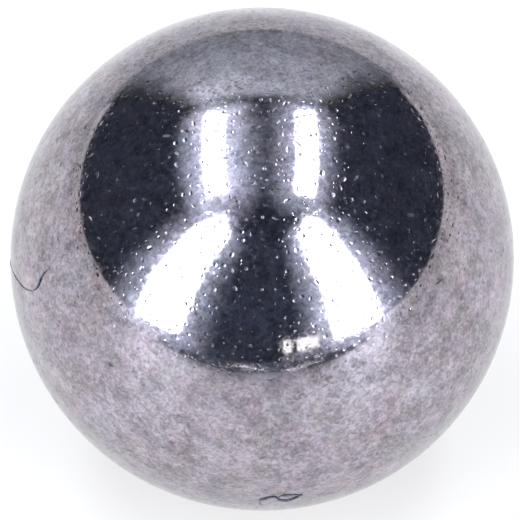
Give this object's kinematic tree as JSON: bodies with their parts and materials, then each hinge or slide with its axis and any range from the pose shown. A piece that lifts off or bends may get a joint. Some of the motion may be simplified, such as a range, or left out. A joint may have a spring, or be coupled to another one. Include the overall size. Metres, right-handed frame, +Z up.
{
  "type": "steel ball",
  "caption": "Solid polished steel ball, lapped to one radius all over, for rolling, detent, valve and socket seats.",
  "frame": {"origin": "centre of the ball", "axes": "+Z up; a ball has no front, so +X and +Y are free and only the marks on its surface tell them apart"},
  "size_m": [0.005, 0.005, 0.005],
  "materials": {
    "lapped_steel": "polished",
    "lint": "matte"
  },
  "bodies": {
    "root": {"ball": "lapped_steel"}
  },
  "joints": []
}
